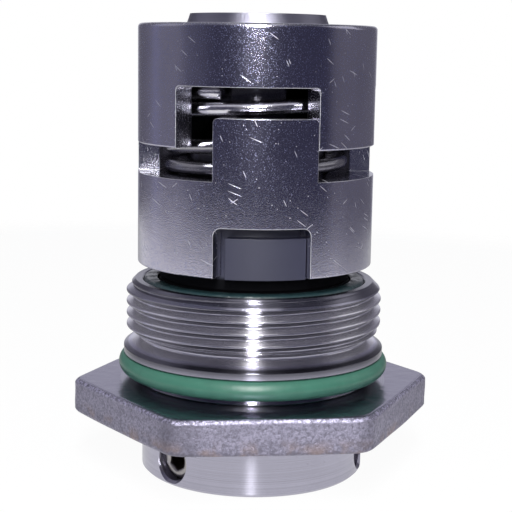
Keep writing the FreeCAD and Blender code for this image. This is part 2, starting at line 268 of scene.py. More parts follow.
def housing_marks(finish):
    """Where the housing's turned faces get a painted highlight and where painted shade, as two
    masks.

    Each mask runs from 0 to 1. The cone and the thread's upper flanks get the painted highlight.
    The thread's lower flanks, the neck, the cone's foot in front, the rim and the flange's edge
    get painted shade, each with its own weight.
    """
    neck_low, neck_high, flange_edge = 11.6, 15.4, 16.25
    cone_low, thread_low, thread_high = 16.45, 17.4, 24.0
    radius, height, angle = finish.radius(), finish.z, finish.angle()
    uprightness = finish.split(finish.add("ShaderNodeNewGeometry").out("Normal"))[2]
    thread = (height > thread_low) * (height < thread_high)
    # Painted highlight on the upper flanks and the cone; painted shade on the lower flanks
    upper_flanks = finish.rise(uprightness, 0.1, 0.4) * thread
    lower_flanks = finish.rise(uprightness, -0.1, -0.4) * thread
    cone = finish.rise(height, cone_low, cone_low + 0.15) * (height < thread_low)
    neck = finish.rise(radius, 15.4, 15.1) * (height > neck_low) * (height < neck_high)
    cone_foot = finish.rise(height, 15.9, 16.3) * finish.rise(height, 16.9, cone_low)
    in_front = finish.rise(angle, -0.8, -0.55, 0.35, 1.0)
    rim = finish.rise(height, 23.25, 23.45) * (height < 25)
    band = (radius > 16.3) * (height > 15.3) * (height < flange_edge)
    # Painted shade on the lower flanks, the neck, the rim, the cone's foot and the flange's edge
    painted_shade = (lower_flanks * 0.72).or_more(neck * 0.2).or_more(rim * 0.5)
    painted_shade = painted_shade.or_more(cone_foot * (radius > 14) * in_front * 0.8)
    painted_shade = painted_shade.or_more(band * finish.rise(height, 15.4, 16.2, 0.2, 0.7))
    return cone.or_more(upper_flanks), painted_shade


def turned_steel(colours):
    """Bright turned steel: fine rings that stretch every highlight along the shaft.

    The sleeve's nose is paler, as a painted highlight, and rougher than the rest, and what lies
    inside the cups gets painted shade.
    """
    nose_low, inside_low = 57.0, 38.0
    finish = Finish("turned_steel_skin")
    soft = finish.soft_normal(0.06)
    lines = turning_lines(finish)
    wide = finish.pattern(0.35, detail=3.0)
    marks = finish.pattern(5.0, detail=4.0, roughness=0.7)
    nicks = finish.cells(1.3)
    nick = finish.rise(nicks, 0.14, 0.05) * finish.kept(nicks, 0.35)
    worn_and_glinting = finish.rise(finish.edges(soft), 0.01, 0.12)
    bright, painted_shade = housing_marks(finish)
    nose = finish.rise(finish.z, nose_low, nose_low + 0.2)
    inside = finish.rise(finish.z, inside_low, inside_low + 0.4) * (1 - nose)
    # The paler layers are painted highlight (on the edges partly wear too); the near-black layer
    # is painted shade
    shade = finish.layered(
        finish.varied(lines * 0.8 + wide * 0.1, colours.turned, 0.6, 1.25),
        (nick * 0.6, colours.turned, 0.45),
        (worn_and_glinting * 0.5, colours.turned, 1.35),
        (bright, colours.turned, 2.0),
        (nose * 0.6, colours.turned, 1.5),
        (painted_shade.or_more(inside * 0.88), colours.turned, 0.04),
    )
    relief = lines * 0.8 + marks * (0.1 + nose * 8) - nick * 0.6
    roughness = 0.19 + marks * 0.05 + nose * 0.34
    streaks = {"Anisotropic": 1.0, "Anisotropic Rotation": 0.25}
    return finish.finished(shade, roughness, relief, 0.006, soft, streaks)


def cast_steel(colours):
    """The hexagon's cast skin: grainy sides, a smoother top, and brown stains low down.

    The corner at the front left is darker. The edges are paler, partly wear and partly painted
    highlight, and a grainy painted highlight runs along the upper edge.
    """
    hexagon_top, front_left_corner = 11.7, -0.5
    finish = Finish("cast_steel_skin")
    soft = finish.soft_normal(0.15)
    grain = finish.pattern(3.2, detail=5.0, roughness=0.62)
    pits = finish.rise(finish.cells(2.2), 0.05, 0.42)
    mottle = finish.pattern(1.9, detail=5.0, roughness=0.75)
    grit = finish.rise(finish.pattern(2.4, detail=3.0, roughness=0.7), 0.46, 0.56)
    swell = finish.pattern(0.5)
    top_face = finish.rise(finish.z, hexagon_top - 0.1, hexagon_top)
    sides = 1 - top_face
    edge = finish.rise(finish.z, 11.0, 11.45) * sides
    low = finish.rise(finish.z, 9.6, 7.3)
    stain = low * finish.rise(finish.pattern(0.33, detail=4.0), 0.46, 0.62) * sides
    patchy = finish.rise(mottle * 0.5 + grain * 0.5 - low * 0.05, 0.38, 0.6)
    corner = finish.rise(abs(finish.angle() - front_left_corner), 0.16, 0.05) * sides
    # Painted highlight on the edges, partly real wear, and a grainy painted highlight along the
    # upper edge
    worn_and_glinting = finish.rise(finish.edges(soft), 0.01, 0.1).or_more(edge * grit)
    shade = finish.layered(
        finish.varied(patchy, colours.cast, 0.6, 1.1),
        (corner * (0.3 + mottle * 0.4), colours.cast, 0.4),
        (stain * 0.5, colours.stain),
        ((1 - pits) * 0.2, colours.cast, 0.4),
        (top_face, colours.cast, 1.1),
        (worn_and_glinting * 0.8, colours.cast, 2.0),
    )
    calm = 1 - top_face * 0.92
    relief = (grain * 0.75 + pits * 0.25) * calm + swell * 0.8
    return finish.finished(shade, (0.3 + grain * 0.12) * calm + 0.2, relief, 0.12, soft)


def cup_steel(colours):
    """The cups' tumbled steel: dark and glossy, with rougher specks, scratches and edges.

    The rough places spread the lamp's light, so they glint where the wall faces it. The walls of
    the windows and notches are made paler as painted light, the edges paler as wear and painted
    highlight, and the cups' inner faces dark as painted shade.
    """
    inner_radius, outer_radius, low, high = 12.4, 15.0, 34, 56
    # Each kind of scratch has its lean, its length, the share of points it keeps and a seed
    kinds = ((-0.35, 2.2, 0.06, 3.7), (-0.62, 1.7, 0.08, 17.2),
             (-1.15, 1.1, 0.07, 41.5), (0.6, 1.3, 0.05, 59.1))
    finish = Finish("cup_steel_skin")
    soft = finish.soft_normal(0.14)
    grain = finish.pattern(8.0, roughness=0.6)
    wide = finish.pattern(0.28, detail=3.0)
    specks = finish.cells(3.2)
    marks = finish.rise(specks, 0.22, 0.12) * finish.kept(specks, 0.05)
    for kind in kinds:
        marks = marks.or_more(scratches(finish, *kind))
    # Edges: partly wear, partly painted highlight
    worn_and_glinting = finish.rise(finish.edges(soft), 0.02, 0.14)
    radius = finish.radius()
    # Painted shade on the cups' inner faces
    within = finish.rise(radius, inner_radius + 0.1, inner_radius - 0.08)
    # Painted light on the walls of the windows and notches, which are made paler
    cut = finish.rise(radius, inner_radius, inner_radius + 0.2)
    cut = cut * finish.rise(radius, outer_radius + 0.02, outer_radius - 0.1)
    rough = finish.rise(grain, 0.46, 0.7) * finish.rise(finish.z, low, high, 0.75, 0.93)
    shade = finish.layered(
        finish.varied(wide, colours.cup, 0.85, 1.1),
        (rough * 0.8, colours.grain),
        (cut * (grain * 0.8 + 0.2), colours.mark, 0.8),
        ((marks * 0.3).or_more(worn_and_glinting), colours.mark),
        (within * 0.8, colours.cup, 0.05),
    )
    roughness = 0.11 + wide * 0.02 + (rough * 0.2).or_more(marks * 0.4).or_more(worn_and_glinting * 0.3)
    return finish.finished(shade, roughness, grain - marks * 0.4, 0.012, soft)


def spring_steel(colours):
    """Polished spring wire with faint drawing marks, dark in its shaded lower turns."""
    lower_turns = 43.5
    finish = Finish("spring_steel_skin")
    marks = finish.pattern(2.6, detail=4.0, roughness=0.7)
    shaded = finish.rise(finish.z, lower_turns, lower_turns - 1.0)
    shade = finish.varied(marks, colours.spring, 0.75, 1.1)
    shade = finish.layered(shade, (shaded * 0.6, colours.spring, 0.2))
    return finish.finished(shade, 0.15 + marks * 0.1, marks, 0.02)


def screw_steel(colours):
    """The set screws' oiled steel, with painted shade in the socket and in their holes."""
    finish = Finish("screw_steel_skin")
    soft = finish.soft_normal(0.08)
    marks = finish.pattern(3.4, detail=4.0, roughness=0.7)
    socket_shade = finish.rise(finish.radius(), SCREW_END - 0.15, SCREW_END - 0.5)
    shade = finish.varied(marks, colours.screw, 0.65, 1.2)
    # Painted shade in the socket and the holes, in the stain colour made nearly black
    shade = finish.layered(shade, (socket_shade * 0.8, colours.stain, 0.15))
    return finish.finished(shade, 0.26 + marks * 0.16, marks, 0.02, soft)


def seal_ceramic(colours):
    """The hard rings' dense ceramic: ground smooth, blue-grey and fine-grained, with painted shade
    below.
    """
    shaded_foot = 27.0
    finish = Finish("ceramic_skin")
    soft = finish.soft_normal(0.12)
    grain = finish.pattern(7.0, detail=3.0, roughness=0.6)
    cloud = finish.pattern(0.6, detail=3.0)
    # Painted shade on the foot: the colour goes nearly black, and a black metal share dims its
    # reflection
    foot = finish.rise(finish.z, shaded_foot, shaded_foot - 0.6)
    shade = finish.varied(grain * 0.5 + cloud * 0.4, colours.ceramic, 0.8, 1.2)
    shade = finish.layered(shade, (foot, colours.ceramic, 0.1))
    others = {"Metallic": foot * 0.8, "IOR": 1.6}
    return finish.finished(shade, 0.42 + cloud * 0.1 + foot * 0.4, grain, 0.01, soft, others)


def rubber(name, colour, gloss, coat, lumps):
    """Moulded rubber: satin, faintly mottled, with a greasy film of a given weight."""
    finish = Finish(name)
    skin = finish.pattern(6.0, detail=3.0)
    mottle = finish.pattern(0.7, detail=4.0)
    film = finish.rise(finish.pattern(0.9), 0.42, 0.62)
    shade = finish.varied(mottle, colour, 0.82, 1.2)
    relief = skin * 0.5 + film * 0.5
    others = {"Metallic": 0.0, "Coat Weight": film * coat, "Coat Roughness": 0.12}
    return finish.finished(shade, gloss + skin * 0.12, relief, lumps, others=others)


def soften(corners, steps=5, guard=0.03):
    """A closed outline of (x, y, extra, radius) corners, with the corners rounded.

    An arc of the radius touches the two sides that meet: it begins radius / tan(half the angle)
    before the corner and ends as far behind it. A guard point beside each end keeps the shading
    of the flats flat. The extra number goes evenly from one corner to the next. A corner with
    no radius is left as a point.
    """
    path = []
    count = len(corners)
    for index, (*here, radius) in enumerate(corners):
        here = np.array(here)
        if not radius:
            path.append(here)
            continue
        before = np.array(corners[index - 1][:3]) - here
        after = np.array(corners[(index + 1) % count][:3]) - here
        before_length = math.hypot(*before[:2])
        after_length = math.hypot(*after[:2])
        into, onward = before / before_length, after / after_length
        half = math.acos(np.clip(into[:2] @ onward[:2], -1, 1)) / 2
        reach = radius / math.tan(half)
        start, end = here + into * reach, here + onward * reach
        middle = into[:2] + onward[:2]
        centre = here[:2] + middle / math.hypot(*middle) * radius / math.sin(half)
        swing = math.pi - 2 * half
        share = np.linspace(0, 1, steps + 1)[:, None]
        ends = (start[:2] - centre) * np.sin((1 - share) * swing)
        ends = ends + (end[:2] - centre) * np.sin(share * swing)
        arc = centre + ends / math.sin(swing)
        extra = start[2] + (end[2] - start[2]) * share
        path.append(start + into * guard)
        path.extend(np.concatenate([arc, extra], axis=1))
        path.append(end + onward * guard)
    return np.array(path)


def divide(path, longest):
    """A closed outline with points added evenly, so that no side is over a length.

    longest is a function that gives the length allowed at each side's middle.
    """
    following = np.roll(path, -1, axis=0)
    pieces = []
    for start, end in zip(path, following):
        length = math.hypot(*(end - start)[:2])
        parts = max(1, math.ceil(length / longest((start + end) / 2)))
        share = np.arange(parts)[:, None] / parts
        pieces.append(start + (end - start) * share)
    return np.concatenate(pieces)


def round_angles(count):
    """A number of angles spread evenly over a full turn."""
    return np.linspace(0, FULL_TURN, count, endpoint=False)


def round_axis(radius, angle, height):
    """Points at a radius, an angle from +X towards +Y and a height, in metres."""
    return np.stack([radius * np.cos(angle), radius * np.sin(angle), height], axis=-1) * MM


def rounded_hexagon(angle, apothem, corner):
    """Radius of a hexagon with round corners, at an angle from the middle of a side.

    On a side it is apothem / cos(angle). Past the side's end it is where the ray meets a circle
    of the corner's radius, whose centre lies (apothem - corner) / cos(30 degrees) out.
    """
    lean = np.abs((angle + math.pi / 6) % (math.pi / 3) - math.pi / 6)
    flat = apothem / np.cos(lean)
    inner = apothem - corner
    centre = inner / math.cos(math.pi / 6)
    off = math.pi / 6 - lean
    under = np.maximum(corner**2 - (centre * np.sin(off)) ** 2, 0)
    arc = centre * np.cos(off) + np.sqrt(under)
    side_end = np.arctan2(inner * math.tan(math.pi / 6), apothem)
    return np.where(lean > side_end, arc, flat)


def signed_volume(points, faces):
    """Six times the volume that the faces enclose: the sum of v0 . (v1 x v2) over their fans."""
    first = points[faces[:, 0]]
    total = 0.0
    for index in range(1, faces.shape[1] - 1):
        second, third = points[faces[:, index]], points[faces[:, index + 1]]
        total += np.einsum("ij,ij->", first, np.cross(second, third))
    return total


def new_object(name, data):
    """An object of some data, linked into the scene."""
    made = bpy.data.objects.new(name, data)
    bpy.context.scene.collection.objects.link(made)
    return made


def mesh_of(name, points, *face_groups, slots=None):
    """A smooth mesh object at the origin, turned so that the volume it encloses is positive."""
    volume = sum(signed_volume(points, faces) for faces in face_groups)
    step = -1 if volume < 0 else 1
    faces = [face for group in face_groups for face in group[:, ::step].tolist()]
    mesh = bpy.data.meshes.new(name)
    mesh.from_pydata(points.tolist(), [], faces)
    mesh.polygons.foreach_set("use_smooth", np.ones(len(faces), bool))
    if slots is not None:
        mesh.polygons.foreach_set("material_index", slots.astype(np.int32))
    mesh.update()
    return new_object(name, mesh)


def grid_faces(rows, columns, rows_closed):
    """Four-sided faces of a grid whose columns run round and whose rows may too."""
    row = np.arange(rows if rows_closed else rows - 1)[:, None]
    row, column = np.broadcast_arrays(row, np.arange(columns)[None, :])
    next_row, next_column = (row + 1) % rows, (column + 1) % columns
    corners = [
        row * columns + column,
        row * columns + next_column,
        next_row * columns + next_column,
        next_row * columns + column,
    ]
    return np.stack(corners, axis=-1).reshape(-1, 4)


def ring_surface(name, grid, slots=None):
    """A closed surface from a grid of points that runs round both ways."""
    rows, columns = grid.shape[:2]
    return mesh_of(name, grid.reshape(-1, 3), grid_faces(rows, columns, True), slots=slots)


def capped_surface(name, grid, first_pole, last_pole):
    """A closed surface from a grid that runs round one way, with a fan to a pole at each end."""
    rows, columns = grid.shape[:2]
    points = np.concatenate([grid.reshape(-1, 3), [first_pole, last_pole]])
    column = np.arange(columns)
    beside = (column + 1) % columns
    last_row = (rows - 1) * columns
    first_fan = np.stack([np.full(columns, rows * columns), beside, column], axis=-1)
    last_fan = np.stack(
        [np.full(columns, rows * columns + 1), last_row + column, last_row + beside], axis=-1
    )
    return mesh_of(name, points, grid_faces(rows, columns, False), first_fan, last_fan)


def groove(turns, half_width, half_root=0.07):
    """Depth of a groove with straight flanks, from 0 to 1, at a count of pitches from its middle.

    1 within half_root of a whole pitch, falling evenly to 0 at half_width from it.
    """
    distance = np.abs((turns + 0.5) % 1 - 0.5)
    return np.clip((half_width - distance) / (half_width - half_root), 0, 1)


def housing_outline(sizes):
    """The housing's half section as corners: radius, height, hexagon share and rounding.

    It runs out along the bottom to the hexagon, in to the neck behind the O-ring, out to the
    flange, in to the undercut, up the cone, the thread and the rim, and down the pocket.
    """
    bore, pocket, neck, flange = 11.5, 14.33, 14.85, 16.85
    round_bottom, round_top = 17.0, 17.3
    low, high = HOUSING_BOX[0].z / MM, HOUSING_BOX[1].z / MM
    flat = HOUSING_BOX[1].y / MM
    hexagon_top = low + sizes.hexagon_thickness / MM
    flange_low = O_RING_BOX[1].z / MM + 0.03
    flange_top = flange_low + 2.05
    pocket_floor = GASKET_BOX[0].z / MM
    thread = sizes.thread_radius / MM
    undercut = thread - 1.73
    edge = sizes.hexagon_edge / MM
    return [
        (bore, low, 0, 0.2),
        (round_bottom, low, 0, 0),
        (flat, low, 1, edge),
        (flat, hexagon_top, 1, edge),
        (round_top, hexagon_top, 0, 0),
        (neck, hexagon_top, 0, 0.25),
        (neck, flange_low, 0, 0.3),
        (flange, flange_low, 0, 0.12),
        (flange, flange_low + 0.9, 0, 0.1),
        (undercut, flange_top, 0, 0.25),
        (undercut, flange_top + 0.35, 0, 0.1),
        (thread, flange_top + 1.25, 0, 0.1),
        (thread, high - 1.15, 0, 0.15),
        (thread - 1.15, high, 0, 0.12),
        (pocket + 0.2, high, 0, 0.08),
        (pocket, high - 0.2, 0, 0.05),
        (pocket, pocket_floor, 0, 0.1),
        (bore, pocket_floor, 0, 0.2),
    ]


def housing_points(sizes):
    """The housing as one profile carried round the axis, and which of its points are cast.

    The radius is the outline's own, or for the hexagon share of a point the distance to a
    rounded hexagon whose corner radius shrinks with its inset and whose sides sag a little, by
    two waves. A right-hand groove is cut where height / pitch - angle / full turn is whole, but
    never outside the outline, and it deepens over the thread's first part.
    """
    fine, coarse, sag_depth, thread_ease = 0.075, 0.9, 0.07, 0.9
    thread_inside, hexagon_inside, least_corner = 14.7, 16.0, 0.2
    flat = HOUSING_BOX[1].y / MM
    hexagon_top = (HOUSING_BOX[0].z + sizes.hexagon_thickness) / MM
    thread, pitch = sizes.thread_radius / MM, sizes.thread_pitch / MM
    thread_low = O_RING_BOX[1].z / MM + 2.3

    def longest(point):
        return fine if point[1] > thread_low and point[0] > thread_inside + 0.3 else coarse

    path = divide(soften(housing_outline(sizes)), longest)
    angle = round_angles(sizes.housing_columns)[None, :]
    radius, height, share = (column[:, None] for column in path.T)
    corner = np.maximum(sizes.hexagon_corner / MM - (flat - radius), least_corner)
    apothem = np.maximum(radius, hexagon_inside)
    hexagon = rounded_hexagon(angle - math.pi / 6, apothem, corner)
    sag = 0.5 + 0.25 * np.sin(7 * angle + height) + 0.25 * np.sin(13 * angle - 2 * height)
    hexagon = hexagon - sag_depth * sag
    turned = radius + 0 * angle
    turns = (height - sizes.thread_start / MM) / pitch - (angle + math.pi / 2) / FULL_TURN
    cut = sizes.thread_depth / MM * groove(turns, sizes.groove_width / MM / 2 / pitch)
    ease = np.clip((height - thread_low) / thread_ease, 0, 1)
    is_thread = (height > thread_low) & (radius > thread_inside)
    turned = np.where(is_thread, np.minimum(turned, thread - cut * ease), turned)
    reach = (1 - share) * turned + share * hexagon
    points = round_axis(reach, angle, height + 0 * angle)
    radius, height = radius[:, 0], height[:, 0]
    beyond_neck, beyond_bore = radius > 17.25, radius > 12
    cast = beyond_neck | beyond_bore & (height < hexagon_top - 0.5)
    return points, cast & (height < hexagon_top + 0.01)


def finish_piece(piece, body, slot, *materials, replaces=None):
    """Gives a new piece its materials and its body, and hides the node it stands for. The slot is
    not used.
    """
    for material in materials:
        piece.data.materials.append(material)
    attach(piece, body)
    if replaces:
        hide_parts(replaces)


def finish_nodes(material, *names):
    """Puts a material on CAD nodes."""
    for name in names:
        node = frame["nodes"][name]
        node.data.materials.clear()
        node.data.materials.append(material)


def length_setting(name, description, default, least=0.0):
    """A length that a user may change, from millimetres to Blender's metres."""
    return bpy.props.FloatProperty(
        name=name, description=description, default=default * MM, min=least * MM,
        subtype="DISTANCE", unit="LENGTH",
    )


def angle_setting(name, description, degrees):
    """An angle that a user may change."""
    return bpy.props.FloatProperty(
        name=name, description=description, default=math.radians(degrees),
        subtype="ANGLE", unit="ROTATION",
    )


def brightness_setting(name, description, default):
    """A lamp's brightness that a user may change."""
    return bpy.props.FloatProperty(name=name, description=description, default=default, min=0.0)


def colour_setting(name, description, default):
    """A colour that a user may change."""
    return bpy.props.FloatVectorProperty(
        name=name, description=description, default=default, size=3, min=0.0, max=1.0,
        subtype="COLOR",
    )


class SealSizes(bpy.types.PropertyGroup):
    """Sizes of the housing's finer surface."""

    thread_radius: length_setting("Thread radius", "Radius over the thread's crests", 16.5)
    thread_pitch: length_setting("Thread pitch", "Height that one turn climbs", 1.5, 0.5)
    thread_depth: length_setting("Thread depth", "Depth of the thread's groove", 0.92)
    groove_width: length_setting("Groove width", "Width of the groove between crests", 1.31, 0.1)
    thread_start: length_setting("Groove height", "Height of one groove's middle at -Y", 21.52)
    hexagon_thickness: length_setting("Hexagon thickness", "Height of the flats", 4.55, 1.0)
    hexagon_corner: length_setting("Hexagon corner", "Radius of the upright corners", 3.0, 0.5)
    hexagon_edge: length_setting("Hexagon edge", "Radius of the top and bottom edges", 0.55, 0.1)
    housing_columns: bpy.props.IntProperty(
        name="Housing columns",
        description="Points of the housing's mesh round the axis",
        default=354, min=60,
    )


class SealColours(bpy.types.PropertyGroup):
    """Colours of the finishes, as written on the surface."""

    turned: colour_setting("Turned steel", "Sleeve, collar and housing thread", (0.48, 0.47, 0.56))
    cast: colour_setting("Cast steel", "The hexagon's rough skin", (0.335, 0.32, 0.41))
    # The stain colour also gives the painted shade in the screws' sockets, made nearly black
    stain: colour_setting("Stain", "Brown stain low on the hexagon", (0.36, 0.26, 0.22))
    cup: colour_setting("Cup steel", "The two drive cups", (0.54, 0.52, 0.6))
    grain: colour_setting("Cup grain", "The rougher grain all over the cups", (0.27, 0.31, 0.6))
    # This colour also paints the painted highlight on edges and the painted light on the cups' cut
    # walls
    mark: colour_setting("Marks", "Specks, scratches and worn edges", (0.95, 0.95, 1.0))
    spring: colour_setting("Spring wire", "The spring and the snap ring", (0.68, 0.67, 0.72))
    screw: colour_setting("Screw steel", "The three set screws", (0.4, 0.38, 0.38))
    ceramic: colour_setting("Seal ceramic", "The two hard rings", (0.02, 0.021, 0.045))
    green: colour_setting("Green rubber", "The O-rings", (0.042, 0.142, 0.1))
    dark_green: colour_setting("Dark rubber", "The seat's rubber cup", (0.012, 0.032, 0.036))
    floor: colour_setting("Floor", "The floor's paper", (1.0, 1.0, 1.0))
    dark_room: colour_setting("Dark room", "Reflected from the camera's side", (0.05, 0.05, 0.085))
    side_walls: colour_setting("Side walls", "Reflected from both sides", (0.16, 0.155, 0.19))
    left_wall: colour_setting("Left wall", "Reflected from the far left", (0.5, 0.5, 0.6))
    stripe: colour_setting("Stripe", "A bluish stripe reflected on the left", (0.4, 0.42, 0.7))
    backdrop: colour_setting("Backdrop", "Reflected from behind the seal", (0.55, 0.55, 0.62))
    ceiling: colour_setting("Ceiling", "Reflected from above", (0.12, 0.12, 0.15))


class SealStage(bpy.types.PropertyGroup):
    """Camera, lamps and floor."""

    camera_distance: length_setting("Camera distance", "To the shaft axis, level", 164.22, 10)
    camera_height: length_setting("Camera height", "Above the floor", 54.59)
    camera_bearing: angle_setting("Camera bearing", "Its place, from -Y towards +X", -6.346)
    camera_turn: angle_setting("Camera turn", "How far it looks right of the axis", 0.075)
    camera_tilt: angle_setting("Camera tilt", "How far it looks up", -9.328)
    camera_roll: angle_setting("Camera roll", "How far it leans", 0.894)
    camera_lens: bpy.props.FloatProperty(
        name="Focal length", description="On a 36 mm sensor",
        default=90.15, min=1.0, subtype="DISTANCE_CAMERA", unit="CAMERA",
    )
    floor_radius: length_setting("Floor radius", "Radius of the pale floor", 200, 50)
    floor_centre: bpy.props.FloatVectorProperty(
        name="Floor centre", description="Middle of the pale floor",
        size=2, default=(-15 * MM, 44 * MM), subtype="XYZ", unit="LENGTH",
    )
    flash: brightness_setting("Flash", "The narrow lamp above the camera", 46.0)
    overhead: brightness_setting("Overhead lamp", "The soft lamp overhead", 0.6)
    side_lamps: brightness_setting("Side lamps", "The soft lamps at both sides", 0.35)


def spring_centre_line(turns):
    """Points of the spring's centre line, in millimetres, at counts of turns from its lower end.

    The height climbs by a small pitch at the ends, and the rest of the climb goes by 2 s^2 of
    the share s of the turns up to the middle, and by 1 - 2 (1 - s)^2 after it.
    """
    radius = SPRING_BOX[1].x / MM - SPRING_WIRE / 2
    share = turns / SPRING_TURNS
    eased = np.where(share < 0.5, 2 * share**2, 1 - 2 * (1 - share) ** 2)
    climb = SPRING_HIGH - SPRING_LOW - 2 * SPRING_END_CENTRE
    spare = climb - SPRING_END_PITCH * SPRING_TURNS
    height = SPRING_LOW + SPRING_END_CENTRE + SPRING_END_PITCH * turns + spare * eased
    angle = math.radians(SPRING_END_ANGLE) + FULL_TURN * (turns - SPRING_TURNS)
    return np.stack([radius * np.cos(angle), radius * np.sin(angle), height], axis=-1)


def spring_points(stations=370, sides=32):
    """The wire: a circle carried along the coil, with its ends ground flat on two planes.

    Across the coil's direction, one axis of the circle points away from the shaft. Whatever
    would pass the spring's two bearing planes is laid on them.
    """
    line = spring_centre_line(np.linspace(0, SPRING_TURNS, stations))
    along = np.gradient(line, axis=0)
    along /= np.linalg.norm(along, axis=1, keepdims=True)
    outward = line * [1, 1, 0]
    outward -= along * np.sum(outward * along, axis=1, keepdims=True)
    outward /= np.linalg.norm(outward, axis=1, keepdims=True)
    upward = np.cross(along, outward)
    around = round_angles(sides)[None, :, None]
    circle = outward[:, None] * np.cos(around) + upward[:, None] * np.sin(around)
    points = line[:, None] + SPRING_WIRE / 2 * circle
    points[..., 2] = np.clip(points[..., 2], SPRING_LOW, SPRING_HIGH)
    line[:, 2] = np.clip(line[:, 2], SPRING_LOW, SPRING_HIGH)
    return points * MM, line[[0, -1]] * MM


def screw_points(bearing, columns=72):
    """A set screw with a true thread, a hexagon socket and a cup point, on a radial axis.

    Its half section (distance out, radius, hexagon share) is carried round the screw's axis; the
    thread's groove is cut where distance / pitch - angle / full turn is whole.
    """
    cup_mouth, chamfer = 1.95, 0.45
    socket_mouth, socket_depth = 1.62, 2.4
    section = np.array([
        (SCREW_TIP, 1.3, 0), (SCREW_TIP, cup_mouth, 0), (SCREW_TIP + chamfer, SCREW_RADIUS, 0),
        (SCREW_END - chamfer, SCREW_RADIUS, 0), (SCREW_END, SCREW_RADIUS - chamfer, 0),
        (SCREW_END, socket_mouth, 0), (SCREW_END - 0.18, SCREW_SOCKET, 1),
        (SCREW_END - socket_depth, SCREW_SOCKET, 1),
    ])
    parts = [2, 8, 70, 8, 2, 3, 4]
    stations = [
        first + (last - first) * np.arange(count)[:, None] / count
        for first, last, count in zip(section, section[1:], parts)
    ]
    out, reach, share = np.concatenate([*stations, section[-1:]])[:, :, None].transpose(1, 0, 2)
    angle = round_angles(columns)[None, :]
    hexagon = rounded_hexagon(angle, SCREW_SOCKET, 0.08)
    turns = out / SCREW_PITCH - angle / FULL_TURN
    threaded = np.minimum(reach, SCREW_RADIUS - SCREW_THREAD_DEPTH * groove(turns, 0.42))
    on_thread = (reach > cup_mouth + 0.01) & (out < SCREW_END - 0.01)
    round_part = np.where(on_thread, threaded, reach + 0 * angle)
    reach = (1 - share) * round_part + share * hexagon
    across, up = reach * np.cos(angle), SCREW_HEIGHT + reach * np.sin(angle)
    cosine, sine = math.cos(bearing), math.sin(bearing)
    out = out + 0 * angle
    grid = np.stack([out * cosine - across * sine, out * sine + across * cosine, up], axis=-1)
    cup_bottom, socket_bottom = SCREW_TIP + 0.6, SCREW_END - socket_depth - 0.35
    poles = [
        [distance * cosine, distance * sine, SCREW_HEIGHT]
        for distance in (cup_bottom, socket_bottom)
    ]
    return grid * MM, np.array(poles) * MM


def rubber_ring_points(centre, section, height, columns=320, rows=36):
    """A moulded ring: a round section carried round the axis, with a fine parting line.

    Its radius grows by a narrow bell of the angle round the section at the outside and inside.
    """
    flash_height, flash_width = 0.02, 0.09
    angle = round_angles(columns)[None, :]
    around = round_angles(rows)[:, None]
    bell = np.exp(-((np.sin(around) / flash_width) ** 2))
    half = section / 2 - flash_height + flash_height * bell
    reach = centre + half * np.cos(around)
    return round_axis(reach, angle, height + half * np.sin(around) + 0 * angle)


def gasket_points(columns=300):
    """The seat's rubber cup, an L section with round edges that squeezes out a little unevenly.

    The top's height gets a sum of slow waves round the axis, as thick as a hair.
    """
    bore, seat, outside, floor_thickness = 10.9, 12.47, 14.26, 1.2
    squeeze, squeezed_height = 0.045, 0.8
    low, top = GASKET_BOX[0].z / MM, GASKET_BOX[1].z / MM
    floor = low + floor_thickness
    corners = [
        (bore, low, 0, 0.15), (outside, low, 0, 0.2), (outside, top, 0, 0.55),
        (seat, top, 0, 0.3), (seat, floor, 0, 0.1), (bore, floor, 0, 0.15),
    ]
    path = divide(soften(corners), lambda middle: 0.5)
    angle = round_angles(columns)[None, :]
    radius, height = path[:, 0, None], path[:, 1, None]
    waves = np.sin(5 * angle + 1) + 0.7 * np.sin(11 * angle + 4) + 0.5 * np.sin(23 * angle)
    near_top = np.clip((height - top + squeezed_height) / squeezed_height, 0, 1)
    height = height - squeeze * near_top * (1 + waves / 2.2)
    return round_axis(radius + 0 * angle, angle, height)


class SealHousing(bpy.types.Operator):
    """Make the screwed housing, with its thread and its cast hexagon"""

    bl_idname = "seal.housing"
    bl_label = "Housing"

    def execute(self, context):
        points, cast = housing_points(context.scene.seal_sizes)
        slots = np.repeat(cast & np.roll(cast, -1), points.shape[1])
        piece = ring_surface("screwed_housing", points, slots)
        colours = context.scene.seal_colours
        skins = turned_steel(colours), cast_steel(colours)
        finish_piece(piece, "stator", "turned_steel", *skins, replaces="hex_housing")
        return {"FINISHED"}


class SealSpring(bpy.types.Operator):
    """Make the spring's ground coil, and finish the snap ring"""

    bl_idname = "seal.spring"
    bl_label = "Spring"

    def execute(self, context):
        points, poles = spring_points()
        piece = capped_surface("ground_spring", points, *poles)
        steel = spring_steel(context.scene.seal_colours)
        finish_piece(piece, "spring", "spring_steel", steel, replaces="compression_spring")
        low, high = SPRING_BOX
        limit = next(j for j in frame["joints"] if j["name"] == "spring_float")["range_m"][1]
        keep = 1 - limit / (high.z - low.z)
        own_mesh(piece)
        finish_nodes(steel, "retaining_ring")
        return {"FINISHED"}


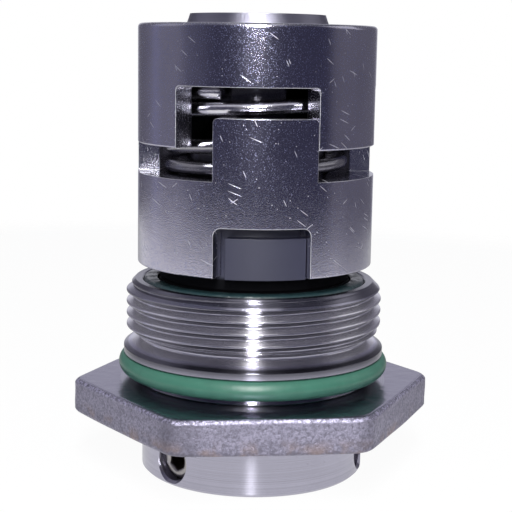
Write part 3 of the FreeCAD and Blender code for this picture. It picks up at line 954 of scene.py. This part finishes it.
class SealRubber(bpy.types.Operator):
    """Make the green O-ring and the seat's dark rubber cup, and finish the hidden rings"""

    bl_idname = "seal.rubber"
    bl_label = "Rubber rings"

    def execute(self, context):
        colours = context.scene.seal_colours
        green = rubber("green_rubber_skin", colours.green, 0.3, 0.0, 0.012)
        dark = rubber("dark_rubber_skin", colours.dark_green, 0.3, 0.7, 0.09)
        low, high = O_RING_BOX
        section = (high.z - low.z) / MM
        centre = high.x / MM - section / 2
        points = rubber_ring_points(centre, section, (low.z + high.z) / 2 / MM)
        ring = ring_surface("green_o_ring", points)
        finish_piece(ring, "stator", "green_rubber", green, replaces="housing_o_ring")
        cup = ring_surface("rubber_seat_cup", gasket_points())
        finish_piece(cup, "stator", "dark_rubber", dark, replaces="seat_cup_gasket")
        finish_nodes(green, "shaft_o_ring", "rotating_ring_o_ring")
        return {"FINISHED"}


class SealScrews(bpy.types.Operator):
    """Make the three threaded set screws"""

    bl_idname = "seal.screws"
    bl_label = "Set screws"

    def execute(self, context):
        steel = screw_steel(context.scene.seal_colours)
        for index in range(3):
            grid, poles = screw_points(math.radians(FIRST_SCREW_ANGLE + 120 * index))
            piece = capped_surface(f"threaded_screw_{index + 1}", grid, *poles)
            body, node = f"screw_{index + 1}", f"set_screw_{index + 1}"
            finish_piece(piece, body, "screw_steel", steel, replaces=node)
        return {"FINISHED"}


class SealCups(bpy.types.Operator):
    """Finish the two drive cups"""

    bl_idname = "seal.cups"
    bl_label = "Drive cups"

    def execute(self, context):
        steel = cup_steel(context.scene.seal_colours)
        finish_nodes(steel, "drive_carrier", "spring_retainer")
        return {"FINISHED"}


class SealSleeve(bpy.types.Operator):
    """Finish the shaft sleeve"""

    bl_idname = "seal.sleeve"
    bl_label = "Shaft sleeve"

    def execute(self, context):
        finish_nodes(turned_steel(context.scene.seal_colours), "shaft_sleeve")
        return {"FINISHED"}


class SealFaces(bpy.types.Operator):
    """Finish the two hard seal rings"""

    bl_idname = "seal.faces"
    bl_label = "Hard rings"

    def execute(self, context):
        ceramic = seal_ceramic(context.scene.seal_colours)
        finish_nodes(ceramic, "rotating_seal_ring", "stationary_seat")
        return {"FINISHED"}


def bearing_axes(bearing):
    """Unit vectors towards a bearing from -Y towards +X, and to its right."""
    sine, cosine = math.sin(bearing), math.cos(bearing)
    return np.array([sine, -cosine, 0.0]), np.array([cosine, sine, 0.0])


def aim(position, forward, roll=0.0):
    """The matrix of a camera or lamp that looks along a vector and leans by a roll."""
    forward = forward / np.linalg.norm(forward)
    right = np.cross(forward, [0, 0, 1])
    right /= np.linalg.norm(right)
    up = np.cross(right, forward)
    leaned_right = math.cos(roll) * right + math.sin(roll) * up
    leaned_up = math.cos(roll) * up - math.sin(roll) * right
    matrix = np.eye(4)
    matrix[:3] = np.stack([leaned_right, leaned_up, -forward, position], axis=1)
    return Matrix(matrix.tolist())


def make_camera(stage):
    """A camera at the photograph's viewing angle."""
    towards, _ = bearing_axes(stage.camera_bearing)
    position = towards * stage.camera_distance + [0, 0, stage.camera_height]
    heading = -stage.camera_bearing + stage.camera_turn
    level, climb = math.cos(stage.camera_tilt), math.sin(stage.camera_tilt)
    forward = np.array([math.sin(heading) * level, math.cos(heading) * level, climb])
    data = bpy.data.cameras.new("camera")
    data.sensor_width = 36.0
    data.lens = stage.camera_lens
    data.clip_start = 0.01
    camera = new_object("camera", data)
    camera.matrix_world = aim(position, forward, stage.camera_roll)
    bpy.context.scene.camera = camera


def make_lamp(name, bearing, lift, distance, width, height, brightness):
    """A rectangular lamp, at a bearing and an angle above level, that faces the shaft axis.

    Its power is brightness * pi * area, so that a face near it would look as bright as that.
    """
    target_height = 30
    towards, _ = bearing_axes(bearing)
    direction = towards * math.cos(lift) + [0, 0, math.sin(lift)]
    data = bpy.data.lights.new(name, "AREA")
    data.shape = "RECTANGLE"
    data.size, data.size_y = width * MM, height * MM
    data.energy = brightness * math.pi * data.size * data.size_y
    position = (direction * distance + [0, 0, target_height]) * MM
    new_object(name, data).matrix_world = aim(position, -direction)


def make_surroundings(colours, stage):
    """White for the camera; a dark room behind it, grey walls and a pale ceiling for the rest.

    facing is 1 towards the camera's side and -1 behind the seal, and sideways 1 to the right.
    """
    world = bpy.data.worlds.new("surroundings")
    bpy.context.scene.world = world
    world.use_nodes = True
    nodes = Nodes(world.node_tree)
    direction = nodes.add("ShaderNodeTexCoord").out("Generated")
    towards, right = bearing_axes(stage.camera_bearing)
    x, y, z = nodes.split(direction)
    level = (x * x + y * y) ** 0.5
    facing = (x * towards[0] + y * towards[1]) / level
    sideways = (x * right[0] + y * right[1]) / level
    front = nodes.rise(facing, 0.25, 0.29)
    behind = nodes.rise(facing, -0.93, -0.97) * nodes.rise(abs(z), 0.6, 0.5)
    above = nodes.rise(z, 0.62, 0.8)
    far_left = nodes.rise(sideways, -0.6, -1.0)
    stripe = nodes.rise(abs(facing + 0.39), 0.09, 0.04) * (sideways < 0)
    shade = nodes.layered(
        nodes.blend(front, opaque(colours.side_walls), opaque(colours.dark_room)),
        (behind, colours.backdrop),
        (above, colours.ceiling),
        (far_left * 0.2, colours.left_wall),
        (stripe * 0.3, colours.stripe),
    )
    seen = nodes.add("ShaderNodeLightPath").out("Is Camera Ray")
    around = nodes.add("ShaderNodeBackground", None, {"Color": shade, "Strength": 1.0})
    white = nodes.add("ShaderNodeBackground", None, {"Color": (1, 1, 1, 1), "Strength": 1.0})
    mixed = nodes.add("ShaderNodeMixShader", None, {0: seen, 1: around, 2: white})
    nodes.add("ShaderNodeOutputWorld", None, {"Surface": mixed})


def make_floor(colours, stage, columns=96):
    """A pale round floor that fades out at its rim, and keeps a light shadow of the object.

    The camera and polished metal see its plain colour, so that it joins the white backdrop. For
    all but the camera it is dimmer behind the seal.
    """
    angle = round_angles(columns)
    radius, centre = stage.floor_radius, np.array(stage.floor_centre)
    rim = np.stack([np.cos(angle), np.sin(angle)], axis=-1) * radius + centre
    mesh = bpy.data.meshes.new("floor")
    mesh.from_pydata(np.pad(rim, ((0, 0), (0, 1))).tolist(), [], [list(range(columns))])
    finish = Finish("floor_paper")
    light_path = finish.add("ShaderNodeLightPath")
    camera, glossy = light_path.out("Is Camera Ray"), light_path.out("Is Glossy Ray")
    behind = finish.rise(finish.y, -50, 20) * finish.rise(finish.x, -110, -70)
    dim = behind * finish.rise(finish.radius(), 30, 60) * (1 - camera)
    pale = finish.add("ShaderNodeBsdfDiffuse", None, {"Color": opaque(colours.floor)})
    shown = finish.varied(dim, colours.floor, 1.0, 0.5)
    white = finish.add("ShaderNodeEmission", None, {"Color": shown})
    clear = finish.add("ShaderNodeBsdfTransparent")
    plain = (camera * 0.95).or_more(glossy * 0.75)
    near = finish.add("ShaderNodeMixShader", None, {0: plain, 1: pale, 2: white})
    across = finish.x - centre[0] / MM
    along = finish.y - centre[1] / MM
    out = (across * across + along * along) ** 0.5
    fade = finish.rise(out, radius / MM * 0.8, radius / MM)
    whole = finish.add("ShaderNodeMixShader", None, {0: fade * camera, 1: near, 2: clear})
    finish.add("ShaderNodeOutputMaterial", None, {"Surface": whole})
    mesh.materials.append(finish.material)
    floor = new_object("floor", mesh)


class SealStudio(bpy.types.Operator):
    """Set the camera, the lamps, the floor and the surroundings"""

    bl_idname = "seal.studio"
    bl_label = "Stage"

    def execute(self, context):
        stage, colours = context.scene.seal_stage, context.scene.seal_colours
        make_camera(stage)
        make_surroundings(colours, stage)
        make_floor(colours, stage)
        front = stage.camera_bearing
        left, right, back = front - 1.75, front + 1.75, front + math.pi
        make_lamp("flash", front, 0.62, 330, 40, 280, stage.flash)
        make_lamp("overhead", front, 1.35, 450, 240, 240, stage.overhead)
        make_lamp("left_lamp", left, 0.5, 450, 300, 300, stage.side_lamps * 0.6)
        make_lamp("right_lamp", right, 0.5, 450, 300, 300, stage.side_lamps * 1.6)
        make_lamp("back_lamp", back, 0.75, 400, 50, 250, stage.side_lamps)
        context.scene.view_settings.view_transform = "Standard"
        return {"FINISHED"}


OPERATORS = (
    SealHousing, SealSpring, SealRubber, SealScrews, SealCups, SealSleeve, SealFaces, SealStudio
)


class SealPanel(bpy.types.Panel):
    """Lists the seal's pieces in the order in which they are made"""

    bl_idname = "VIEW3D_PT_seal"
    bl_label = "Cartridge seal"
    bl_space_type = "VIEW_3D"
    bl_region_type = "UI"
    bl_category = "Seal"

    def draw(self, context):
        for operator in OPERATORS:
            self.layout.operator(operator.bl_idname)
        for group in SETTINGS:
            settings = getattr(context.scene, group)
            for name in settings.bl_rna.properties.keys():
                if name not in ("rna_type", "name"):
                    self.layout.prop(settings, name)


SETTINGS = {"seal_sizes": SealSizes, "seal_colours": SealColours, "seal_stage": SealStage}
CLASSES = (*SETTINGS.values(), *OPERATORS, SealPanel)


def register():
    for each in CLASSES:
        bpy.utils.register_class(each)
    for name, group in SETTINGS.items():
        setattr(bpy.types.Scene, name, bpy.props.PointerProperty(type=group))


def unregister():
    for name in SETTINGS:
        delattr(bpy.types.Scene, name)
    for each in reversed(CLASSES):
        bpy.utils.unregister_class(each)


def main():
    register()
    for operator in OPERATORS:
        group, name = operator.bl_idname.split(".")
        getattr(getattr(bpy.ops, group), name)()


if __name__ == "__main__":
    main()
